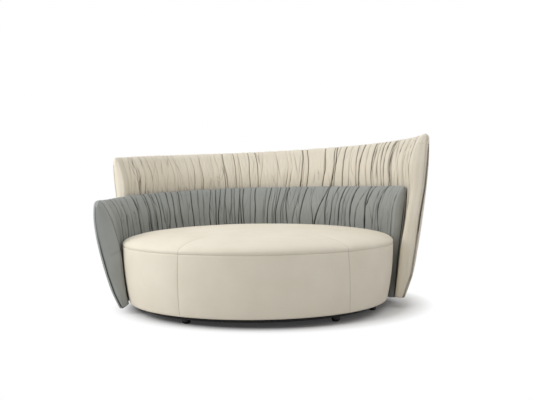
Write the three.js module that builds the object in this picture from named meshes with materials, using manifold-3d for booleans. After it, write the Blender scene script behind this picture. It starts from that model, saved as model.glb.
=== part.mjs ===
// A round sofa whose two padded backs turn about one upright axis at the middle of the seat.
// Millimetres and degrees. The axis is +Z, the floor is z = 0 and the open front faces -Y.

import * as THREE from 'three';
import { mergeVertices } from 'three/addons/utils/BufferGeometryUtils.js';
import Module from 'manifold-3d';

const wasm = await Module();
wasm.setup();

// Seat and base
const seatRadius = 750;
const seamHeight = 361;
const crownRise = 94;
const bandTaper = 34;
const bandThickness = 14;
const bandSteps = 5;
const skirtHeight = 52;
const skirtCorner = 6;
const panelSeamAngles = [-121, -54];
const panelSeamDepth = 5;
const panelSeamWidth = 40;
const panelSeamLength = 330;
const panelStep = 7.5;
const panelSeamSteps = [-7, -3, 0, 3, 7];
const deckThickness = 18;
const foamThickness = 24;
const wallThickness = 12;
const wallRise = 4;
const ribThickness = 18;
const ribAngles = [-126, -54, 18, 90, 162];

// Column, base board and feet. A foot's inset is from the board's edge to the foot's middle.
const boardBottom = 30;
const boardThickness = 18;
const columnRadius = 60;
const columnBore = 50;
const [leftInset, rightInset, edgeInset] = [48, 40, 23];
const feet = [
  { angle: -126, inset: leftInset }, { angle: -52, inset: rightInset },
  { angle: -17, inset: edgeInset }, { angle: 52, inset: rightInset },
  { angle: 126, inset: leftInset }, { angle: 163, inset: edgeInset },
];
const footRadius = 21.5;
const footFlat = 9;
const footChamfer = 3;
const footSteps = 4;
const centreFootRadius = 60;
const centreFootChamfer = 4;
const boltRadius = 5;
const boltHeadRadius = 9;
const boltHeadHeight = 5.5;
const footBoltTip = 8;
const postRadius = 20;
const postInset = 104;
const postRibs = [0, 1, 3, 4];

// Turning frames
const washerThickness = 3;
const washerRadius = 92;
const hubRadius = 110;
const hubHeight = 24;
const lugLength = 40;
const bushThickness = 6;
const collarHeight = 8;
const collarRadius = 85;
const armWidth = 50;
const armThickness = 12;
const armWallGap = 6;
const armBoardGap = 8;
const uprightThickness = 7;
const pocketSlack = 1;
const pocketDrop = 20;
const pocketOverrun = 30;
const shellBoltRadius = 4;
const shellBoltHeadRadius = 7;
const shellBoltHeadHeight = 3;
const shellBoltSetback = 1;

// Backs: peaks, layers, ends and folds
const innerPeak = 665;
const outerPeak = 948;
const shellThickness = 7;
const endLength = 38;
const endRounding = 30;
const endShares = [0, 0.5, 0.8, 0.95, 0.99];
const insetShare = 0.6;
const foldDepth = 5;
const foldVariety = 0.55;
const foldLean = 2.2;
const foldPivot = 0.35;
const foldRunIn = 3;
const shellStations = 33;
const ringSides = 36;
const drumSides = 60;

// Clearances
const seatGap = 0.3;
const boreGap = 0.3;
const runningGap = 0.5;
const lipGap = 1;
const ribGap = 1;
const backGap = 7;

// Radii and heights that follow from the ones above
const skirtRadius = seatRadius - bandTaper;
const wallRadius = skirtRadius - bandThickness;
const armDropReach = wallRadius - wallThickness - armWallGap - armThickness;
const boardRadius = armDropReach - armBoardGap;
const deckBottom = seamHeight - seatGap - foamThickness - seatGap - deckThickness;
const boardTop = boardBottom + boardThickness;
const outerHubBottom = boardTop + seatGap + washerThickness + seatGap;
const innerHubBottom = outerHubBottom + hubHeight + seatGap + washerThickness + seatGap;
const collarBottom = innerHubBottom + hubHeight + seatGap;
const ribBottom = collarBottom + collarHeight + seatGap;

// Outlines of a back, bottom to top. Each level is a share of the back's height, each radius is
// measured outward from the seat's edge, the ridge is a list of [angle, share of the peak], and
// the slope is how much higher the bottom edge lies on the seat side.
const faceLevels = [0, 0.14, 0.32, 0.5, 0.68, 0.84, 0.94];
const hiddenLevels = [0, 2, 4, 6];
const ridgeShoulder = 0.68;
const ridgeWidth = 0.45;

const innerBack = {
  name: 'inner_back',
  bottom: 32,
  from: 2,
  to: 197,
  blendFrom: 172,
  blendTo: 197,
  peak: innerPeak,
  ridge: [[2, 1], [100, 0.988], [145, 0.95], [180, 0.917], [197, 0.919]],
  middle: {
    inner: [-9, -2, 5, 11, 21, 36, 49],
    outer: [32, 43, 53, 66, 81, 94, 99],
    ridge: 75,
    cover: 8,
    slope: 0,
  },
  end: {
    inner: [-27, -12, 4, 22, 44, 66, 90],
    outer: [25, 62, 96, 123, 144, 154, 153],
    ridge: 124,
    cover: 9,
    slope: 18,
  },
  hubBottom: innerHubBottom,
  armBottom: 19,
  armAngles: { left: 168, right: 38 },
  uprightTop: 300,
  boltHeights: [110, 260],
  foldSeed: 11,
};

// The outer back's inner face keeps this clear of the inner back, up to the inner back's ridge.
const outerBottom = 58;
const faceBehind = faceLevels.slice(0, 5).map((level) => {
  const z = outerBottom + level * (outerPeak - outerBottom);
  const share = (z - innerBack.bottom) / (innerPeak - innerBack.bottom);
  const k = Math.min(faceLevels.filter((l) => l <= share).length, faceLevels.length - 1);
  const [low, high] = [faceLevels[k - 1], faceLevels[k]];
  const along = Math.min(1, (share - low) / (high - low));
  const { outer } = innerBack.middle;
  return outer[k - 1] + along * (outer[k] - outer[k - 1]) + backGap;
});

const outerBack = {
  name: 'outer_back',
  bottom: outerBottom,
  from: -11,
  to: 158.5,
  blendFrom: 1,
  blendTo: -11,
  peak: outerPeak,
  ridge: [[-11, 1], [18, 0.993], [50, 0.972], [87, 0.948], [139, 0.919], [158.5, 0.9]],
  middle: {
    inner: [...faceBehind, 116, 132],
    outer: [62, 95, 128, 154, 173, 187, 192],
    ridge: 165,
    cover: 8,
    slope: 0,
  },
  end: {
    inner: [4, 20, 40, 71, 97, 110, 130],
    outer: [57, 106, 140, 166, 187, 200, 203],
    ridge: 183,
    cover: 24,
    slope: 0,
  },
  hubBottom: outerHubBottom,
  armBottom: 14,
  armAngles: { left: 147, right: 25 },
  uprightTop: 400,
  boltHeights: [130, 350],
  foldSeed: 29,
};

const creamLeather = { color: 0xe3dccb, roughness: 0.55, metalness: 0 };
const greyLeather = { color: 0x8c9190, roughness: 0.55, metalness: 0 };
const plywood = { color: 0xb58e5c, roughness: 0.7, metalness: 0 };
const blackWood = { color: 0x1d1d1e, roughness: 0.7, metalness: 0 };
const blackSteel = { color: 0x26282a, roughness: 0.45, metalness: 0.9 };
const zincSteel = { color: 0xa9adb0, roughness: 0.35, metalness: 1 };
const foam = { color: 0xd9cf9a, roughness: 0.95, metalness: 0 };
const blackPlastic = { color: 0x121213, roughness: 0.5, metalness: 0 };
const palePlastic = { color: 0xd8d6cd, roughness: 0.5, metalness: 0 };

const sofa = new THREE.Group();
const rad = THREE.MathUtils.degToRad;
const { lerp, smoothstep } = THREE.MathUtils;

// Geometry helpers

function polar(radius, angle, z) {
  return new THREE.Vector3(radius * Math.cos(rad(angle)), radius * Math.sin(rad(angle)), z);
}

// A closed mesh with shared corners, no flat triangles and its faces pointing out.
function closed(geometry) {
  const bare = new THREE.BufferGeometry();
  bare.setAttribute('position', geometry.getAttribute('position').clone());
  if (geometry.index) bare.setIndex(geometry.index.clone());
  const merged = mergeVertices(bare, 1e-3);
  const index = merged.index.array;
  const kept = [];
  for (let i = 0; i < index.length; i += 3) {
    const [a, b, c] = [index[i], index[i + 1], index[i + 2]];
    if (a !== b && b !== c && c !== a) kept.push(a, b, c);
  }
  merged.setIndex(kept);
  if (volume(merged) < 0) merged.setIndex(kept.reverse());
  merged.computeVertexNormals();
  return merged;
}

function volume(geometry) {
  const position = geometry.getAttribute('position');
  const index = geometry.index.array;
  const [a, b, c] = [new THREE.Vector3(), new THREE.Vector3(), new THREE.Vector3()];
  let total = 0;
  for (let i = 0; i < index.length; i += 3) {
    a.fromBufferAttribute(position, index[i]);
    b.fromBufferAttribute(position, index[i + 1]);
    c.fromBufferAttribute(position, index[i + 2]);
    total += a.dot(b.cross(c)) / 6;
  }
  return total;
}

// A solid turned about the upright axis. The outline is a list of [radius, height].
function revolve(outline, segments = 48) {
  const points = outline.map(([radius, z]) => new THREE.Vector2(radius, z));
  return closed(new THREE.LatheGeometry(points, segments).rotateX(Math.PI / 2));
}

// A ring between two radii and two heights.
function ring(inside, outside, bottom, top, segments = ringSides) {
  const corners = [[inside, bottom], [outside, bottom], [outside, top], [inside, top]];
  return revolve([...corners, corners[0]], segments);
}

// A flat plate: a shape in plan, raised from bottom to top.
function plate(shape, bottom, top) {
  const geometry = new THREE.ExtrudeGeometry(shape, { depth: top - bottom, bevelEnabled: false });
  return closed(geometry.translate(0, 0, bottom));
}

// A bar whose side view is given as [reach, height], with its width across the radius.
function bar(outline, width) {
  const shape = new THREE.Shape(outline.map(([reach, z]) => new THREE.Vector2(reach, z)));
  const geometry = new THREE.ExtrudeGeometry(shape, { depth: width, bevelEnabled: false });
  return closed(geometry.rotateX(Math.PI / 2).translate(0, width / 2, 0));
}

// A solid lofted through closed sections, each a list of as many points. Every face is split
// from its upper corner on one section to its lower corner on the next, so layers stay parallel.
function loft(sections) {
  const count = sections[0].length;
  const index = [];
  for (let s = 0; s + 1 < sections.length; s += 1) {
    for (let p = 0; p < count; p += 1) {
      const q = (p + 1) % count;
      const a = s * count + p;
      const b = s * count + q;
      if (sections[s][p].z > sections[s][q].z) {
        index.push(a, b, b + count, a, b + count, a + count);
      } else {
        index.push(a, b, a + count, b, b + count, a + count);
      }
    }
  }
  const first = capTriangles(sections[0]);
  const last = capTriangles(sections[sections.length - 1]);
  const lastStart = (sections.length - 1) * count;
  first.forEach(([a, b, c]) => index.push(a, c, b));
  last.forEach(([a, b, c]) => index.push(lastStart + a, lastStart + b, lastStart + c));
  const geometry = new THREE.BufferGeometry().setFromPoints(sections.flat());
  geometry.setIndex(index);
  return closed(geometry);
}

// Triangles of an end section, found in its own upright plane and turned like the section.
function capTriangles(section) {
  const flat = section.map((p) => new THREE.Vector2(Math.hypot(p.x, p.y), p.z));
  const clockwise = THREE.ShapeUtils.isClockWise(flat);
  const triangles = THREE.ShapeUtils.triangulateShape(flat, []);
  return clockwise ? triangles.map(([a, b, c]) => [c, b, a]) : triangles;
}

function toManifold(geometry) {
  const mesh = new wasm.Mesh({
    numProp: 3,
    vertProperties: new Float32Array(geometry.getAttribute('position').array),
    triVerts: new Uint32Array(geometry.index.array),
  });
  return new wasm.Manifold(mesh);
}

// One solid with others cut out of it.
function cut(geometry, tools) {
  let solid = toManifold(geometry);
  tools.forEach((tool) => {
    solid = solid.subtract(toManifold(tool));
  });
  const mesh = solid.getMesh();
  const result = new THREE.BufferGeometry();
  result.setAttribute('position', new THREE.BufferAttribute(mesh.vertProperties, 3));
  result.setIndex(new THREE.BufferAttribute(mesh.triVerts, 1));
  return closed(result);
}

function add(name, geometry, material) {
  const mesh = new THREE.Mesh(geometry, new THREE.MeshStandardMaterial(material));
  mesh.name = name;
  sofa.add(mesh);
  return mesh;
}

// A repeatable value between 0 and 1 for each whole number.
function chance(seed, n) {
  const value = Math.sin(seed * 12.9898 + n * 78.233) * 43758.5453;
  return value - Math.floor(value);
}

// Seat

// The side band's outer radius swells from the skirt up to the seam.
function bandRadius(z) {
  const share = (z - skirtHeight) / (seamHeight - skirtHeight);
  return lerp(skirtRadius, seatRadius, 1 - (1 - share) ** 2);
}

function sideBand() {
  const outline = [[wallRadius + seatGap, skirtHeight], [skirtRadius - skirtCorner, skirtHeight]];
  for (let i = 0; i <= bandSteps; i += 1) {
    const z = lerp(skirtHeight + skirtCorner, seamHeight, i / bandSteps);
    outline.push([bandRadius(z), z]);
  }
  outline.push([wallRadius + seatGap, seamHeight], outline[0]);
  return revolve(outline, drumSides);
}

// The cushion's crown, as shares of the seat's radius and of the crown's rise.
const crownOutline = [
  [1, 0], [1, 0.13], [0.988, 0.26], [0.963, 0.38], [0.924, 0.48],
  [0.86, 0.59], [0.747, 0.71], [0.62, 0.79], [0.4, 0.91], [0.2, 0.98],
];

function seatCushion() {
  const angles = [];
  for (let angle = -180; angle < 180; angle += panelStep) {
    if (panelSeamAngles.every((seam) => Math.abs(angle - seam) > panelStep)) angles.push(angle);
  }
  panelSeamAngles.forEach((seam) => panelSeamSteps.forEach((step) => angles.push(seam + step)));
  angles.sort((a, b) => a - b);
  const bottom = seamHeight + seatGap;
  const points = [];
  angles.forEach((angle) => {
    crownOutline.forEach(([share, rise]) => {
      const radius = share * seatRadius;
      const inward = smoothstep(radius, seatRadius - panelSeamLength, seatRadius);
      const fade = inward * Math.min(1, rise / crownOutline[3][1]);
      const sink = panelSeamAngles.reduce((sum, seam) => {
        const across = (radius * rad(angle - seam)) / panelSeamWidth;
        return sum + panelSeamDepth * fade * Math.exp(-across * across);
      }, 0);
      points.push(polar(radius, angle, bottom + rise * crownRise - sink));
    });
  });
  const top = points.push(new THREE.Vector3(0, 0, bottom + crownRise)) - 1;
  const base = points.push(new THREE.Vector3(0, 0, bottom)) - 1;
  const rings = crownOutline.length;
  const index = [];
  angles.forEach((angle, i) => {
    const here = i * rings;
    const next = ((i + 1) % angles.length) * rings;
    for (let k = 0; k + 1 < rings; k += 1) {
      index.push(here + k, next + k, next + k + 1, here + k, next + k + 1, here + k + 1);
    }
    index.push(here + rings - 1, next + rings - 1, top, next, here, base);
  });
  const geometry = new THREE.BufferGeometry().setFromPoints(points);
  geometry.setIndex(index);
  return closed(geometry);
}

function rib() {
  const inner = columnRadius + seatGap;
  const outer = wallRadius - wallThickness - ribGap;
  const top = deckBottom - seatGap;
  return bar([[inner, ribBottom], [outer, ribBottom], [outer, top], [inner, top]], ribThickness);
}

function buildSeat() {
  add('seat_cushion', seatCushion(), creamLeather);
  add('side_band', sideBand(), creamLeather);
  add('seat_foam', revolve([
    [0, deckBottom + deckThickness + seatGap], [wallRadius, deckBottom + deckThickness + seatGap],
    [wallRadius, seamHeight - seatGap], [0, seamHeight - seatGap],
  ], drumSides), foam);
  add('deck_board', revolve([
    [0, deckBottom], [wallRadius, deckBottom],
    [wallRadius, deckBottom + deckThickness], [0, deckBottom + deckThickness],
  ], drumSides), plywood);
  const wallInside = wallRadius - wallThickness;
  const wallBottom = skirtHeight + wallRise;
  add('drum_wall', ring(wallInside, wallRadius, wallBottom, deckBottom - seatGap, drumSides), plywood);
  ribAngles.forEach((angle, i) => {
    add(`rib_${i + 1}`, rib(), plywood).rotation.z = rad(angle);
  });
}

// Base

function circlePoints(x, y, radius, sides) {
  return Array.from({ length: sides }, (_, i) => {
    const turn = (2 * Math.PI * i) / sides;
    return new THREE.Vector2(x + radius * Math.cos(turn), y + radius * Math.sin(turn));
  });
}

function baseBoard() {
  const shape = new THREE.Shape(circlePoints(0, 0, boardRadius, drumSides));
  feet.forEach(({ angle, inset }) => {
    const spot = polar(boardRadius - inset, angle, 0);
    shape.holes.push(new THREE.Path(circlePoints(spot.x, spot.y, boltRadius + boreGap, 12)));
  });
  return plate(shape, boardBottom, boardTop);
}

// A foot with a flat, rounded bottom and a blind hole down from its top for its bolt.
function foot() {
  const top = boardBottom - seatGap;
  const outline = [[0, 0], [footFlat, 0]];
  const rounding = footRadius - footFlat;
  for (let i = 1; i <= footSteps; i += 1) {
    const turn = rad(90 * i / footSteps);
    outline.push([footFlat + rounding * Math.sin(turn), rounding * (1 - Math.cos(turn))]);
  }
  outline.push([footRadius, top - footChamfer], [footRadius - footChamfer, top]);
  const hole = boltRadius + boreGap;
  const holeBottom = footBoltTip - seatGap;
  return revolve([...outline, [hole, top], [hole, holeBottom], [0, holeBottom]], 14);
}

function centreFoot() {
  const top = boardBottom - seatGap;
  return revolve([
    [0, 0], [centreFootRadius - centreFootChamfer, 0], [centreFootRadius, centreFootChamfer],
    [centreFootRadius, top], [0, top],
  ], ringSides);
}

function footBolt() {
  const under = boardTop + seatGap;
  return revolve([
    [0, footBoltTip], [boltRadius, footBoltTip], [boltRadius, under],
    [boltHeadRadius, under], [boltHeadRadius, under + boltHeadHeight], [0, under + boltHeadHeight],
  ], 16);
}

function buildBase() {
  add('base_board', baseBoard(), blackWood);
  add('centre_foot', centreFoot(), blackPlastic);
  feet.forEach(({ angle, inset }, i) => {
    const spot = polar(boardRadius - inset, angle, 0);
    add(`foot_${i + 1}`, foot(), blackPlastic).position.copy(spot);
    add(`foot_bolt_${i + 1}`, footBolt(), zincSteel).position.copy(spot);
  });
  postRibs.forEach((ribNumber, i) => {
    const post = revolve([
      [0, boardTop + seatGap], [postRadius, boardTop + seatGap],
      [postRadius, ribBottom - seatGap], [0, ribBottom - seatGap],
    ], 24);
    const spot = polar(boardRadius - postInset, ribAngles[ribNumber], 0);
    add(`post_${i + 1}`, post, blackSteel).position.copy(spot);
  });
  add('column', ring(columnBore, columnRadius, boardTop + seatGap, deckBottom - seatGap), blackSteel);
  const bore = columnRadius + runningGap;
  const washer = (above) => ring(bore, washerRadius, above + seatGap, above + seatGap + washerThickness);
  add('lower_washer', washer(boardTop), palePlastic);
  add('middle_washer', washer(outerHubBottom + hubHeight), palePlastic);
  const collar = ring(bore, collarRadius, collarBottom, collarBottom + collarHeight);
  add('retaining_collar', collar, zincSteel);
}

// Backs

function ridgeHeight(back, angle) {
  const list = back.ridge;
  let k = 0;
  while (k + 2 < list.length && angle > list[k + 1][0]) k += 1;
  const [[a, low], [b, high]] = [list[k], list[k + 1]];
  return back.peak * lerp(low, high, THREE.MathUtils.clamp((angle - a) / (b - a), 0, 1));
}

// How far the section has turned into the one at the back's shaped end, 0 to 1.
function endShare(back, angle) {
  const share = (angle - back.blendFrom) / (back.blendTo - back.blendFrom);
  return smoothstep(share, 0, 1);
}

// The two faces of a back at one angle, as [radius, height] from the bottom up.
function faces(back, angle) {
  const share = endShare(back, angle);
  const top = ridgeHeight(back, angle);
  const heights = faceLevels.map((level) => lerp(back.bottom, top, level));
  const offset = (side, i) => lerp(back.middle[side][i], back.end[side][i], share);
  const blend = (side) => heights.map((z, i) => [seatRadius + offset(side, i), z]);
  const inner = blend('inner');
  inner[0][1] += lerp(back.middle.slope, back.end.slope, share);
  return {
    inner,
    outer: blend('outer'),
    ridge: [seatRadius + lerp(back.middle.ridge, back.end.ridge, share), top],
    cover: lerp(back.middle.cover, back.end.cover, share),
  };
}

// The hidden side of a layer, bottom to top, this far in from the outer face.
function hiddenSide(face, depth) {
  return hiddenLevels.map((level) => [face.outer[level][0] - depth, face.outer[level][1]]);
}

// Three points that round the top edge from the inner face over to the lip.
function ridgePoints(face, edge, lip, inset) {
  const last = faceLevels.length - 1;
  const span = face.outer[last][0] - face.inner[last][0];
  const radius = lerp(edge[0], lip[0], (face.ridge[0] - face.inner[last][0]) / span);
  const height = face.ridge[1] - Math.min(inset, (face.ridge[1] - lip[1]) / 2);
  const shoulder = lerp(lip[1], height, ridgeShoulder);
  return [
    [lerp(edge[0], radius, ridgeWidth), shoulder],
    [radius, height],
    [lerp(lip[0], radius, ridgeWidth), shoulder],
  ];
}

// Section of what lies in front of a layer: the pad's or an end's.
function frontSection(face, depth, inset = 0) {
  const hidden = hiddenSide(face, depth);
  const inner = face.inner.map(([radius, z], i) => {
    const room = face.outer[i][0] - depth - radius;
    return [radius + Math.min(inset, insetShare * room), z];
  });
  const [lipRadius, lipHeight] = face.outer[face.outer.length - 1];
  const lip = [lipRadius - Math.min(inset, insetShare * depth), lipHeight + lipGap];
  hidden[hidden.length - 1][1] += lipGap;
  const edge = inner[inner.length - 1];
  return { visible: [...inner, ...ridgePoints(face, edge, lip, inset), lip], hidden: hidden.reverse() };
}

// Section of the shell, which fills the layer between the pad and the rear cover.
function shellSection(face) {
  const outside = hiddenSide(face, face.cover + seatGap);
  const inside = hiddenSide(face, face.cover + seatGap + shellThickness);
  return [...outside, ...inside.reverse()];
}

function coverSection(face, inset) {
  const inside = hiddenSide(face, face.cover);
  const outside = face.outer.map(([radius, z]) => [radius - inset, z]);
  const chamfer = insetShare * (face.cover - inset);
  const foot = [outside[0][0] - chamfer, outside[0][1]];
  outside[0][1] += chamfer;
  return [foot, ...outside, ...inside.reverse()];
}

function place(section, angle) {
  return section.map(([radius, z]) => polar(radius, angle, z));
}

// Angle taken by a length along the back at the seat's edge.
function arcAngle(length) {
  return THREE.MathUtils.radToDeg(length / (seatRadius + backGap));
}

// Angles between the two ends of a back's shell. The shell and rear cover skip every other one
// where the section doesn't change, and the pad has them all.
function stations(back) {
  const trim = arcAngle(endLength);
  const count = 2 * shellStations - 1;
  const step = (back.to - back.from - 2 * trim) / (count - 1);
  const angles = Array.from({ length: count }, (_, i) => back.from + trim + i * step);
  const changing = (angle) => endShare(back, angle - step) > 0 || endShare(back, angle + step) > 0;
  return angles.map((angle, i) => ({ angle, onShell: i % 2 === 0 || changing(angle) }));
}

function shellAngles(back) {
  return stations(back).filter(({ onShell }) => onShell).map(({ angle }) => angle);
}

function shell(back) {
  return loft(shellAngles(back).map((angle) => place(shellSection(faces(back, angle)), angle)));
}

// Steps from the shell's edge to the tip of an end, with how far the faces have drawn in.
function endSteps() {
  const tip = endShares[endShares.length - 1];
  return endShares.map((share) => ({
    share: share / tip,
    inset: endRounding * (1 - Math.sqrt(1 - share * share)),
  }));
}

function rearCover(back) {
  const trim = arcAngle(endLength);
  const sections = shellAngles(back).map((angle) => place(coverSection(faces(back, angle), 0), angle));
  endSteps().slice(1).forEach(({ share, inset }) => {
    const drawn = (angle) => {
      const face = faces(back, angle);
      return place(coverSection(face, Math.min(inset, face.cover * insetShare)), angle);
    };
    sections.unshift(drawn(back.from + trim * (1 - share)));
    sections.push(drawn(back.to - trim * (1 - share)));
  });
  return loft(sections);
}

function end(back, side) {
  const trim = arcAngle(endLength);
  const gapAngle = arcAngle(seatGap);
  const sections = endSteps().map(({ share, inset }) => {
    const along = lerp(trim - gapAngle, 0, share);
    const angle = side === 'left' ? back.to - along : back.from + along;
    const face = faces(back, angle);
    const section = frontSection(face, face.cover + seatGap, inset);
    return place([...section.visible, ...section.hidden], angle);
  });
  return loft(sections);
}

// The pad's face is gathered into irregular upright folds, which lean outward with height.
function pad(back) {
  const list = stations(back);
  const middleAngle = (back.from + back.to) / 2;
  const halfSpan = (back.to - back.from) / 2;
  const sections = list.map(({ angle }, i) => {
    const face = faces(back, angle);
    const { visible, hidden } = frontSection(face, face.cover + 2 * seatGap + shellThickness);
    const edge = Math.min(1, i / foldRunIn, (list.length - 1 - i) / foldRunIn);
    const height = foldDepth * edge * (1 - foldVariety * chance(back.foldSeed, i));
    const sign = i % 2 === 0 ? -0.5 : 0.5;
    const side = (angle - middleAngle) / halfSpan;
    const lean = foldLean * side * edge * Math.sqrt(Math.max(0, 1 - side * side));
    const folded = visible.map(([radius, z], k) => {
      const share = k / (visible.length - 1);
      const fade = k === 0 || k === visible.length - 1 ? 0 : 1;
      const onRidge = k >= face.inner.length;
      const out = onRidge ? 0 : -sign * height * fade;
      const up = onRidge ? sign * height * fade : 0;
      return polar(radius + out, angle + lean * (share - foldPivot) * fade, z + up);
    });
    return { folded, hidden: place(hidden, angle) };
  });
  return loft(sections.map(({ folded, hidden }, i) => {
    if (list[i].onShell) return [...folded, ...hidden];
    const [before, after] = [sections[i - 1].hidden, sections[i + 1].hidden];
    return [...folded, ...hidden.map((_, k) => before[k].clone().lerp(after[k], 0.5))];
  }));
}

// Radius of the shell's inner face at a height, less the room that a flat bar needs against
// its curve and its facets.
function uprightRadius(back, angle, z) {
  const face = faces(back, angle);
  const side = hiddenSide(face, face.cover + seatGap + shellThickness);
  let k = 0;
  while (k + 2 < side.length && z > side[k + 1][1]) k += 1;
  const [[r0, z0], [r1, z1]] = [side[k], side[k + 1]];
  const radius = lerp(r0, r1, (z - z0) / (z1 - z0));
  const bulge = radius - Math.sqrt(radius * radius - (armWidth / 2) ** 2);
  const facet = (back.to - back.from - 2 * arcAngle(endLength)) / (shellStations - 1);
  const flat = radius * (1 - Math.cos(rad(facet / 2)));
  return radius - bulge - flat - seatGap;
}

// Heights where the upright bends with the shell.
function uprightHeights(back, angle) {
  const face = faces(back, angle);
  const bends = hiddenSide(face, 0).map(([, z]) => z);
  const between = bends.filter((z) => z > back.bottom && z < back.uprightTop);
  return [back.bottom, ...between, back.uprightTop];
}

// A shell bolt lies square to the upright, with its head on the seat side.
function placedBolt(back, angle, z, geometry) {
  const radius = uprightRadius(back, angle, z);
  const above = uprightRadius(back, angle, z + 1);
  const tilt = Math.atan2(above - radius, 1);
  return geometry.rotateY(Math.PI / 2 + tilt).translate(radius, 0, z);
}

function shellBolt() {
  const inside = -uprightThickness - seatGap;
  const tip = shellThickness + seatGap - shellBoltSetback;
  return revolve([
    [0, inside - shellBoltHeadHeight], [shellBoltHeadRadius, inside - shellBoltHeadHeight],
    [shellBoltHeadRadius, inside], [shellBoltRadius, inside], [shellBoltRadius, tip], [0, tip],
  ], 12);
}

function boltHole() {
  const reach = 2 * (shellThickness + uprightThickness);
  const radius = shellBoltRadius + boreGap;
  return revolve([[0, -reach], [radius, -reach], [radius, reach], [0, reach]], 12);
}

function arm(back, angle) {
  const start = hubRadius + lugLength + seatGap;
  const highBottom = back.hubBottom + (hubHeight - armThickness) / 2;
  const highTop = highBottom + armThickness;
  const lowTop = back.armBottom + armThickness;
  const heights = uprightHeights(back, angle);
  const outside = heights.map((z) => [uprightRadius(back, angle, z), z]);
  const inside = outside.map(([radius, z]) => [radius - uprightThickness, z]).reverse();
  const foot = outside[0][0];
  const outline = [
    [start, highTop], [start, highBottom], [armDropReach, highBottom], [armDropReach, back.armBottom],
    [foot, back.armBottom], ...outside, ...inside, [foot - uprightThickness, lowTop],
    [armDropReach + armThickness, lowTop], [armDropReach + armThickness, highTop],
  ];
  const holes = back.boltHeights.map((z) => placedBolt(back, angle, z, boltHole()));
  return cut(bar(outline, armWidth), holes);
}

// Room in the pad for an upright and its bolt heads.
function armPocket(back, angle) {
  const bends = uprightHeights(back, angle).slice(1, -1);
  const heights = [back.bottom - pocketDrop, ...bends, back.uprightTop + pocketSlack];
  const side = (offset) => heights.map((z) => [uprightRadius(back, angle, z) + offset, z]);
  const outside = side(pocketOverrun);
  const inside = side(-uprightThickness - pocketSlack);
  const slot = bar([...outside, ...inside.reverse()], armWidth + 2 * pocketSlack).rotateZ(rad(angle));
  const heads = back.boltHeights.map((z) => {
    const radius = shellBoltHeadRadius + pocketSlack;
    const length = uprightThickness + shellBoltHeadHeight + pocketSlack;
    const room = revolve([[0, -length], [radius, -length], [radius, 0], [0, 0]], 12);
    return placedBolt(back, angle, z, room).rotateZ(rad(angle));
  });
  return [slot, ...heads];
}

// The hub is a round plate on the column with a lug towards each arm.
function hub(back) {
  const half = armWidth / 2;
  const reach = hubRadius + lugLength;
  const spread = THREE.MathUtils.radToDeg(Math.asin(half / hubRadius));
  const outline = [];
  const angles = Object.values(back.armAngles).sort((a, b) => a - b);
  angles.forEach((angle, i) => {
    const along = polar(1, angle, 0);
    const across = polar(1, angle + 90, 0);
    [-half, half].forEach((offset) => {
      outline.push(along.clone().multiplyScalar(reach).addScaledVector(across, offset));
    });
    const next = i + 1 < angles.length ? angles[i + 1] : angles[0] + 360;
    const steps = Math.ceil((next - angle - 2 * spread) / 10);
    for (let k = 0; k <= steps; k += 1) {
      outline.push(polar(hubRadius, lerp(angle + spread, next - spread, k / steps), 0));
    }
  });
  const shape = new THREE.Shape(outline.map((p) => new THREE.Vector2(p.x, p.y)));
  const bore = columnRadius + runningGap + bushThickness + boreGap;
  shape.holes.push(new THREE.Path(circlePoints(0, 0, bore, ringSides)));
  return plate(shape, back.hubBottom, back.hubBottom + hubHeight);
}

function buildBack(back, leather) {
  const { name } = back;
  const pockets = Object.values(back.armAngles).flatMap((angle) => armPocket(back, angle));
  const drilled = Object.values(back.armAngles).flatMap((angle) => (
    back.boltHeights.map((z) => placedBolt(back, angle, z, boltHole()).rotateZ(rad(angle)))
  ));
  add(`${name}_pad`, cut(pad(back), pockets), leather);
  add(`${name}_shell`, cut(shell(back), drilled), plywood);
  add(`${name}_rear_cover`, rearCover(back), leather);
  add(`${name}_left_end`, end(back, 'left'), leather);
  add(`${name}_right_end`, end(back, 'right'), leather);
  add(`${name}_hub`, hub(back), blackSteel);
  const bore = columnRadius + runningGap;
  const hubTop = back.hubBottom + hubHeight;
  add(`${name}_bush`, ring(bore, bore + bushThickness, back.hubBottom, hubTop), palePlastic);
  Object.entries(back.armAngles).forEach(([side, angle]) => {
    add(`${name}_${side}_arm`, arm(back, angle), blackSteel).rotation.z = rad(angle);
    back.boltHeights.forEach((z, i) => {
      const bolt = placedBolt(back, angle, z, shellBolt());
      add(`${name}_${side}_bolt_${i + 1}`, bolt, zincSteel).rotation.z = rad(angle);
    });
  });
}

buildSeat();
buildBase();
buildBack(innerBack, greyLeather);
buildBack(outerBack, creamLeather);

export default sofa;
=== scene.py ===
import math

import bmesh
import bpy
import numpy as np
from mathutils import Matrix, Vector


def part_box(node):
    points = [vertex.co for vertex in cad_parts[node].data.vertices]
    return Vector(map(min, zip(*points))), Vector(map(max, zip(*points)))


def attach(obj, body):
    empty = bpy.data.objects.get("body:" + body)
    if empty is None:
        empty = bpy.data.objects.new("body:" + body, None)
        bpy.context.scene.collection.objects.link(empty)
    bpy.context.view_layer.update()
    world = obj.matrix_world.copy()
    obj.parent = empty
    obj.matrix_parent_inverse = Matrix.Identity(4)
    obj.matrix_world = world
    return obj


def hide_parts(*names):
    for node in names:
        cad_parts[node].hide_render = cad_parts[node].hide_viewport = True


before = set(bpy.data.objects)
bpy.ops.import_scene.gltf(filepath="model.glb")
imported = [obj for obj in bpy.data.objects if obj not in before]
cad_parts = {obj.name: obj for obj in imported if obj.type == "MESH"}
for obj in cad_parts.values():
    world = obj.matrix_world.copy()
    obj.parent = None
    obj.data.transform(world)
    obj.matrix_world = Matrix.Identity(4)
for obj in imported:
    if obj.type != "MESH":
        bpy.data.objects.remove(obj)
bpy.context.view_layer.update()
scene = bpy.context.scene

MM = 0.001

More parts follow.
